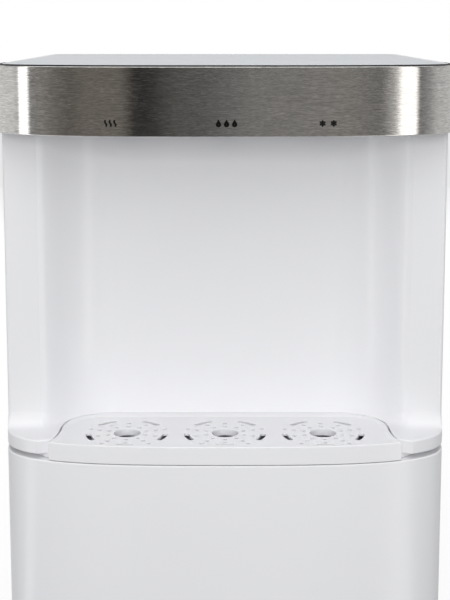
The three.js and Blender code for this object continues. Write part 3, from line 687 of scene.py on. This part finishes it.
def grille_holes(x):
    y = BAND_FRONT + 34 * MM
    at = lambda radius, degrees: Vector((x + radius * MM * math.cos(math.radians(degrees)),
                                         y + radius * MM * math.sin(math.radians(degrees))))
    holes = [circle(x, y, 9.2 * MM, 56)]
    for i in range(10):
        degrees = 18 + 36 * i
        for radius in (13.6, 20.6, 27.2)[:3 if degrees in (18, 162, 234, 306) else 2]:
            holes.append(circle(*at(radius, degrees), 1.55 * MM, 18))
    for i in range(5):
        middle = 54 + 72 * i
        far, near = (25.3, 23.3) if middle == 270 else (28.6, 24.8)
        mid, half = (far + near) / 2, (far - near) / 2
        outer = [at(far, middle + s) for s in range(-12, 13, 2)]
        inner = [at(near, middle - s) for s in range(-12, 13, 2)]
        ends = [[at(mid + half * math.cos(a), middle + side * (12 + math.degrees(half / mid) * math.sin(a)))
                 for a in [math.pi * k / 8 for k in range(1, 8)]] for side in (1, -1)]
        holes.append(outer + ends[0] + inner + list(reversed(ends[1])))
    return holes, (x, y)


def make_tray():
    outline = tray_outline()
    top, plate_thick = LEDGE_TOP_Z, 3 * MM
    dip = 0.9 * MM
    rim = [(0.05 * MM, top - plate_thick), (0.05 * MM, top - 1.1 * MM), (0, top - 0.95 * MM),
           (0.03 * MM, top - 0.6 * MM), (0.2 * MM, top - 0.2 * MM), (0.6 * MM, top), (1.7 * MM, top),
           (2.3 * MM, top - 0.12 * MM), (3.8 * MM, top - dip + 0.1 * MM), (4.4 * MM, top - dip),
           (5 * MM, top - dip), (5 * MM, top - plate_thick)]
    pieces = [swept("rim", outline, rim, closed=True, angle=50)]
    holes, spots = [], []
    for _, x in TAPS:
        group, spot = grille_holes(x)
        holes += group
        spots.append(spot)
    pieces.append(plate("grid", [distinct(offset(outline, 4.7 * MM, True)), *holes], top - plate_thick,
                        top - dip, 0.35 * MM, 2))
    for i, (x, y) in enumerate(spots):
        ring = list(reversed(circle(x, y, 10.6 * MM, 56)))
        pieces.append(swept(f"collar_{i}", ring, section(0, 1.35 * MM, top - 6 * MM, top - 1.6 * MM, 0.3 * MM, 2),
                            closed=True))
    low = GRILLE[0].z
    skirt_back = BAND_FRONT + 20 * MM
    skirt_line = [p for p in outline if p.y < skirt_back]
    first = max(range(len(skirt_line)), key=lambda i: (skirt_line[i] - skirt_line[i - 1]).length)
    skirt_line = skirt_line[first:] + skirt_line[:first]
    face = [(0.02 * MM, top - 0.95 * MM), (0, top - 1.1 * MM), (0, low + 0.4 * MM), (0.12 * MM, low + 0.12 * MM),
            (0.4 * MM, low), (2.5 * MM, low), (2.5 * MM, top - 0.95 * MM)]
    pieces.append(swept("skirt", skirt_line, face, angle=40))
    stand_in(merged("grille", pieces), "grille", "tray_grille")


def make_basin():
    low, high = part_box("drip_tray")
    outline = tray_outline()
    wall = swept("basin_wall", outline, section(3.2 * MM, 5.2 * MM, low.z, high.z, 0.6 * MM, 3), closed=True)
    floor = plate("basin_floor", [distinct(offset(outline, 3.6 * MM, True))], low.z, low.z + 2 * MM, 0.5 * MM)
    stand_in(merged("basin", [wall, floor]), "tray", "drip_tray")


# ---- body ----
def make_body():
    low, high = BODY
    lip = 1.0 * MM
    corners = [(0, low.z, 1.2 * MM), (0, DECK_Z, lip), (14 * MM, DECK_Z, 0.3 * MM),
               (14 * MM, DECK_Z - WALL, 0.3 * MM), (WALL, DECK_Z - WALL, 1 * MM), (WALL, low.z, 0.6 * MM)]
    profile = [tuple(p) for p in rounded(corners, 5)]
    front = swept("front", front_path(BODY_HALF, BODY_FRONT), profile)
    inset = 12 * MM
    inner = front_path(BODY_HALF - inset, BODY_FRONT + inset)
    back = [Vector((-149.2 * MM, SEAM_Y)), Vector((-149.2 * MM, high.y)), Vector((149.2 * MM, high.y)),
            Vector((149.2 * MM, SEAM_Y))]
    floor = plate("front_deck", [inner + back], DECK_Z - WALL, DECK_Z, 0.3 * MM, 2)
    stand_in(merged("front_panel", [front, floor]), "chassis", "lower_front_panel")
    for side in ("left", "right"):
        low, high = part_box(f"side_panel_{side}")
        panel = soft_box(f"side_{side}", low, high, 1.1 * MM)
        stand_in(panel, "chassis", f"side_panel_{side}")


def make_feet():
    for end in ("front", "rear"):
        for side in ("left", "right"):
            node = f"foot_{end}_{side}"
            low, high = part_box(node)
            middle = (low + high) / 2
            profile = [(0, 0), (11, 0), (12.2, 0.4), (13.6, 1.6), (14, 2.6), (13.8, 4), (13.1, 7), (12.4, 7.7),
                       (0, 7.7)]
            ridged = [(r * MM, z * MM) for r, z in profile]
            stand_in(lathe(f"pad_{end}_{side}", ridged, (middle.x, middle.y, low.z)), "chassis", node)


# ---- rear ----
def make_coil():
    """The condenser: level wire-thin runs joined by half-round bends, with its inlet end inside."""
    low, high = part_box("condenser_coil")
    radius, pitch, rows = 2.2 * MM, 26 * MM, 11
    y = high.y - radius
    lowest, bend = 100 * MM, 13 * MM
    half = high.x - radius if high.x < 124 * MM else 118 * MM
    hole_x, hole_z = 125 * MM, 82 * MM
    line = [(hole_x, low.y, hole_z), (hole_x, y - 5 * MM, hole_z), (hole_x - 0.4 * MM, y - 2 * MM, hole_z + 0.6 * MM),
            (hole_x - 2 * MM, y - 0.5 * MM, hole_z + 2 * MM), (hole_x - 5 * MM, y, hole_z + 5 * MM),
            (half - 4 * MM, y, lowest - 3.4 * MM), (half - 8 * MM, y, lowest - 0.8 * MM)]
    hole_top = lowest + (rows - 1) * pitch
    for row in range(rows):
        side = 1 if row % 2 else -1
        z = lowest + row * pitch
        if row:
            line.append((-side * (half - bend), y, z))
        line.append((side * (half - bend), y, z))
        for i in range(1, 12 if row < rows - 1 else 0):
            angle = math.pi * i / 12
            line.append((side * (half - bend + bend * math.sin(angle)), y, z + bend - bend * math.cos(angle)))
    turn_x = side * (half - bend) + side * 6 * MM
    for i in range(1, 9):
        angle = math.pi / 2 * i / 8
        line.append((turn_x + side * 6 * MM * math.sin(angle), y - 6 * MM * (1 - math.cos(angle)), hole_top))
    curve = bpy.data.curves.new("coil", "CURVE")
    curve.dimensions = "3D"
    curve.bevel_depth = radius
    curve.bevel_resolution = 4
    curve.use_fill_caps = True
    spline = curve.splines.new("POLY")
    spline.points.add(len(line) - 1)
    for point, p in zip(spline.points, line):
        point.co = (*p, 1)
    source = bpy.data.objects.new("coil", curve)
    bpy.context.scene.collection.objects.link(source)
    graph = bpy.context.evaluated_depsgraph_get()
    mesh = bpy.data.meshes.new_from_object(source.evaluated_get(graph))
    bpy.data.objects.remove(source)
    bm = bmesh.new()
    bm.from_mesh(mesh)
    bmesh.ops.remove_doubles(bm, verts=bm.verts, dist=1e-6)
    bm.to_mesh(mesh)
    bm.free()
    tube = add("coil", mesh, 60, False)
    wire = 0.75 * MM
    count = 28
    wires = []
    for i in range(count):
        x = (2 * i / (count - 1) - 1) * (half - bend - 4 * MM)
        profile = [(0, 0), (wire * 0.7, 0), (wire, wire * 0.4), (wire, hole_top - lowest + 13.6 * MM),
                   (wire * 0.7, hole_top - lowest + 14 * MM), (0, hole_top - lowest + 14 * MM)]
        wires.append(lathe("wire", profile, (x, y + radius + wire * 0.8, lowest - 7 * MM), steps=10))
    stand_in(merged("coil", [tube, *wires]), "chassis", "condenser_coil")
    sheet = REAR[1].y
    ring = [(2.1, -0.5), (5.2, -0.5), (5.6, 0.2), (5.2, 0.9), (4.2, 1.5), (3.0, 1.7), (2.1, 1.5), (2.1, -0.5)]
    for end, x, z in (("low", hole_x, hole_z), ("high", turn_x + side * 6 * MM, hole_top)):
        seal = lathe(f"coil_grommet_{end}", [(r * MM, h * MM) for r, h in ring], (x, sheet, z), "Y")
        dress(seal, MATERIALS["rubber_black"])
        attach(seal, "chassis")


# ---- marks on the band ----
def mark(name, strokes, x, z, width=1.0 * MM):
    """A printed pictogram: closed or open strokes, in millimetres round (x, z), laid on the band."""
    vertices, faces = [], []
    for stroke, closed in strokes:
        line = [Vector(p) * MM for p in stroke]
        left, right = offset(line, width / 2, closed), offset(line, -width / 2, closed)
        start = len(vertices)
        for a, b in zip(left, right):
            for p in (a, b):
                y = bow_y(BAND_HALF, BAND_FRONT, x + p.x)
                vertices += [(x + p.x, y + 0.05 * MM, z + p.y), (x + p.x, y - 0.1 * MM, z + p.y)]
        count = len(line)
        for i in range(count if closed else count - 1):
            a, b = start + 4 * i, start + 4 * ((i + 1) % count)
            faces += [(a, b, b + 1, a + 1), (a + 1, b + 1, b + 3, a + 3), (a + 3, b + 3, b + 2, a + 2),
                      (a + 2, b + 2, b, a)]
        if not closed:
            end = start + 4 * (count - 1)
            faces += [(start, start + 1, start + 3, start + 2), (end, end + 2, end + 3, end + 1)]
    obj = shell(name, vertices, faces)
    dress(obj, PRINT)
    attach(obj, "chassis")


def wave(u):
    return [(u + 0.55 * math.sin(2 * math.pi * k / 14), -2.1 + 4.2 * k / 14) for k in range(15)], False


def drop(u):
    """Two outlines, the smaller one filling the drop's middle."""
    rings = []
    for size in (1.0, 0.45):
        points = []
        for k in range(24):
            angle = 2 * math.pi * k / 24
            tip = max(math.sin(angle), 0) ** 3
            points.append((u + size * 1.3 * math.cos(angle) * (1 - 0.75 * tip),
                           -0.6 + size * (1.3 * math.sin(angle) + 1.2 * tip)))
        rings.append((points, True))
    return rings


def flake(u):
    strokes = []
    for k in range(3):
        angle = math.pi / 2 + math.pi * k / 3
        c, s = math.cos(angle), math.sin(angle)
        strokes.append(([(u - 2.2 * c, -2.2 * s), (u + 2.2 * c, 2.2 * s)], False))
        for way in (-1, 1):
            for bend in (-1, 1):
                turn = angle + bend * math.pi / 4
                root = (u + way * 1.1 * c, way * 1.1 * s)
                strokes.append(([root, (root[0] + way * 0.8 * math.cos(turn),
                                        root[1] + way * 0.8 * math.sin(turn))], False))
    return strokes


def make_marks():
    z = BAND[0].z + 8.6 * MM
    mark("mark_hot", [wave(u) for u in (-3, 0, 3)], -74 * MM, z, 1.1 * MM)
    mark("mark_normal", [ring for u in (-5.2, 0, 5.2) for ring in drop(u)], 1 * MM, z, 0.9 * MM)
    mark("mark_cold", [s for u in (-3.6, 3.6) for s in flake(u)], 66.5 * MM, z, 0.8 * MM)


# ---- carried-over CAD nodes ----
SHARP_EDGED = {"base_pan": 0.4, "rear_cover": 0.5, "power_inlet": 0.4, "switch_housing_heating": 0.5,
               "switch_housing_cooling": 0.5, "switch_heating": 0.5, "switch_cooling": 0.5,
               "wall_spacer_left": 1.0, "wall_spacer_right": 1.0, "lever_hot": 0.4, "lever_normal": 0.4,
               "lever_cold": 0.4, "child_lock": 0.5, "reservoir": 0.6, "control_board": 0.3,
               "board_bracket": 0.3, "tank_shelf": 0.4, "mid_shelf": 0.4, "tap_hot": 0.3, "tap_normal": 0.3,
               "tap_cold": 0.3, "drain_cap": 0.4, "drain_spigot": 0.3}


def finish_cad():
    for name, obj in frame["nodes"].items():
        dress(obj, MATERIALS[SLOT_OF[name]])
        obj.data.shade_smooth()
        obj.data.set_sharp_from_angle(angle=math.radians(32))
        weld = obj.modifiers.new("weld", "WELD")
        weld.merge_threshold = 0.01 * MM
        flat = obj.modifiers.new("flat", "DECIMATE")
        flat.decimate_type = "DISSOLVE"
        flat.angle_limit = math.radians(0.5)
        if name in SHARP_EDGED:
            bevel = obj.modifiers.new("edges", "BEVEL")
            bevel.width = SHARP_EDGED[name] * MM
            bevel.segments = 3
            bevel.limit_method = "ANGLE"
            bevel.angle_limit = math.radians(40)
            bevel.harden_normals = False
        normals = obj.modifiers.new("normals", "WEIGHTED_NORMAL")
        normals.keep_sharp = True


# ---- stage ----
def make_floor():
    mesh = bpy.data.meshes.new("floor")
    bm = bmesh.new()
    bmesh.ops.create_circle(bm, cap_ends=True, radius=6, segments=96)
    bm.to_mesh(mesh)
    bm.free()
    floor = bpy.data.objects.new("floor", mesh)
    bpy.context.scene.collection.objects.link(floor)
    g = Graph("pale_floor")
    g.feed(g.shader.inputs["Base Color"], g.mix(g.spread(g.noise(1.5), 0, 1), (0.37, 0.37, 0.37, 1), (0.39, 0.39, 0.39, 1)))
    g.shader.inputs["Roughness"].default_value = 0.7
    g.shader.inputs["Emission Color"].default_value = (1, 1, 1, 1)
    g.shader.inputs["Emission Strength"].default_value = 0.68
    dress(floor, g)
    floor.visible_diffuse = False
    floor.data.materials[0].cycles.emission_sampling = "NONE"


# Strips round the object that only reflections see: (azimuth in degrees from the front, brightness, warmth).
# A positive azimuth is on the object's right.
REFLECTIONS = [(-180, 0.9, 0), (-75, 0.9, 0), (-65, 0.7, 0), (-63.5, 2.4, 0), (-54, 2.4, 0), (-52, 0.24, 0),
               (-43, 0.33, 0.5), (-37, 0.24, 0.5), (-27, 0.15, 1), (-23, 0.2, 1), (-12.2, 0.21, 1),
               (-11.4, 0.04, 0), (-8.5, 0.03, 0), (-6, 0.09, 0), (-3.5, 0.16, 0.5), (-1.5, 0.12, 0),
               (1.6, 0.28, 0.2), (8, 0.29, 0.2), (17, 0.3, 0.5), (23, 0.26, 0.3), (28, 0.2, 0.2),
               (35, 0.6, 0.2), (38, 2.1, 0.2), (48, 2.1, 0.2), (50, 0.22, 0), (62, 0.42, 0), (75, 0.68, 0),
               (180, 0.9, 0)]
SKY = 1.6


def make_drum():
    """A tall ring of soft panels and flags with a foot on the floor, seen only in reflections."""
    line = ((0.1, 0.004), (3.0, 0.004), (3.0, 2.6))
    steps = 96
    vertices, faces = [], []
    for i in range(steps):
        angle = 2 * math.pi * i / steps
        vertices += [(r * math.sin(angle), -r * math.cos(angle), z) for r, z in line]
    for i in range(steps):
        a, b = 3 * i, 3 * ((i + 1) % steps)
        faces += [(a + k, b + k, b + k + 1, a + k + 1) for k in (0, 1)]
    mesh = bpy.data.meshes.new("drum")
    mesh.from_pydata(vertices, [], faces)
    drum = bpy.data.objects.new("drum", mesh)
    bpy.context.scene.collection.objects.link(drum)
    g = Graph("soft_panels")
    split = g.node("ShaderNodeSeparateXYZ", Vector=g.place)
    back = g.node("ShaderNodeMath", {"operation": "MULTIPLY"})
    g.feed(back.inputs[0], split.outputs["Y"])
    back.inputs[1].default_value = -1
    angle = g.node("ShaderNodeMath", {"operation": "ARCTAN2"})
    g.feed(angle.inputs[0], split.outputs["X"])
    g.feed(angle.inputs[1], back.outputs[0])
    turn = g.spread(angle.outputs[0], 0, 1, -math.pi, math.pi)
    ramp = g.node("ShaderNodeValToRGB")
    g.feed(ramp.inputs["Fac"], turn)
    stops = ramp.color_ramp.elements
    peak = max(row[1] for row in REFLECTIONS)
    while len(stops) < len(REFLECTIONS):
        stops.new(0.5)
    for stop, (degrees, level, warmth) in zip(stops, REFLECTIONS):
        stop.position = (degrees + 180) / 360
        stop.color = (level / peak * (1 + 0.08 * warmth), level / peak, level / peak * (1 - 0.1 * warmth), 1)
    glow = g.node("ShaderNodeEmission", Color=ramp.outputs["Color"], Strength=peak)
    g.tree.links.new(glow.outputs[0], g.tree.nodes["Material Output"].inputs["Surface"])
    dress(drum, g)
    only_reflected(drum)


def make_sky():
    """A pale disc overhead for the upturned edges to mirror."""
    mesh = bpy.data.meshes.new("sky")
    bm = bmesh.new()
    bmesh.ops.create_circle(bm, cap_ends=True, radius=1.8, segments=48)
    bmesh.ops.translate(bm, verts=bm.verts, vec=(0, 0, 2.6))
    bm.to_mesh(mesh)
    bm.free()
    sky = bpy.data.objects.new("sky", mesh)
    bpy.context.scene.collection.objects.link(sky)
    g = Graph("sky_panel")
    glow = g.node("ShaderNodeEmission", Color=(1, 1, 1, 1), Strength=SKY)
    g.tree.links.new(glow.outputs[0], g.tree.nodes["Material Output"].inputs["Surface"])
    dress(sky, g)
    only_reflected(sky)


def only_reflected(obj):
    obj.data.materials[0].cycles.emission_sampling = "NONE"
    obj.visible_camera = False
    obj.visible_diffuse = False
    obj.visible_shadow = False
    obj.visible_transmission = False


def softbox(name, place, aim, width, height, power):
    light = bpy.data.lights.new(name, "AREA")
    light.shape = "RECTANGLE"
    light.size, light.size_y = width, height
    light.energy = power
    obj = bpy.data.objects.new(name, light)
    obj.location = place
    obj.rotation_euler = (Vector(aim) - Vector(place)).to_track_quat("-Z", "Y").to_euler()
    obj.visible_glossy = False
    bpy.context.scene.collection.objects.link(obj)


def make_light():
    world = bpy.data.worlds.new("studio")
    bpy.context.scene.world = world
    world.use_nodes = True
    nodes, links = world.node_tree.nodes, world.node_tree.links
    seen = nodes.new("ShaderNodeLightPath")
    plain = nodes["Background"]
    plain.inputs["Color"].default_value = (0.95, 0.97, 1.0, 1)
    plain.inputs["Strength"].default_value = 0.25
    white = nodes.new("ShaderNodeBackground")
    white.inputs["Color"].default_value = (1, 1, 1, 1)
    white.inputs["Strength"].default_value = 1.0
    both = nodes.new("ShaderNodeMixShader")
    links.new(seen.outputs["Is Camera Ray"], both.inputs[0])
    links.new(plain.outputs[0], both.inputs[1])
    links.new(white.outputs[0], both.inputs[2])
    links.new(both.outputs[0], nodes["World Output"].inputs["Surface"])
    aim = (0, 0, 0.3)
    softbox("front", (-0.1, -2.2, 0.7), aim, 0.8, 0.8, 20)
    softbox("high", (0, -1.2, 1.8), aim, 0.5, 2.2, 19)
    softbox("left", (-2.0, 0.6, 0.9), aim, 1.2, 1.6, 5)
    softbox("right", (2.0, 0.6, 0.9), aim, 1.2, 1.6, 7)
    softbox("back", (0, 2.2, 1.3), aim, 2.0, 1.4, 14)


make_band()
make_top()
make_soffit()
make_alcove()
make_tray()
make_basin()
make_body()
make_feet()
make_coil()
make_marks()
finish_cad()
make_floor()
make_drum()
make_sky()
make_light()
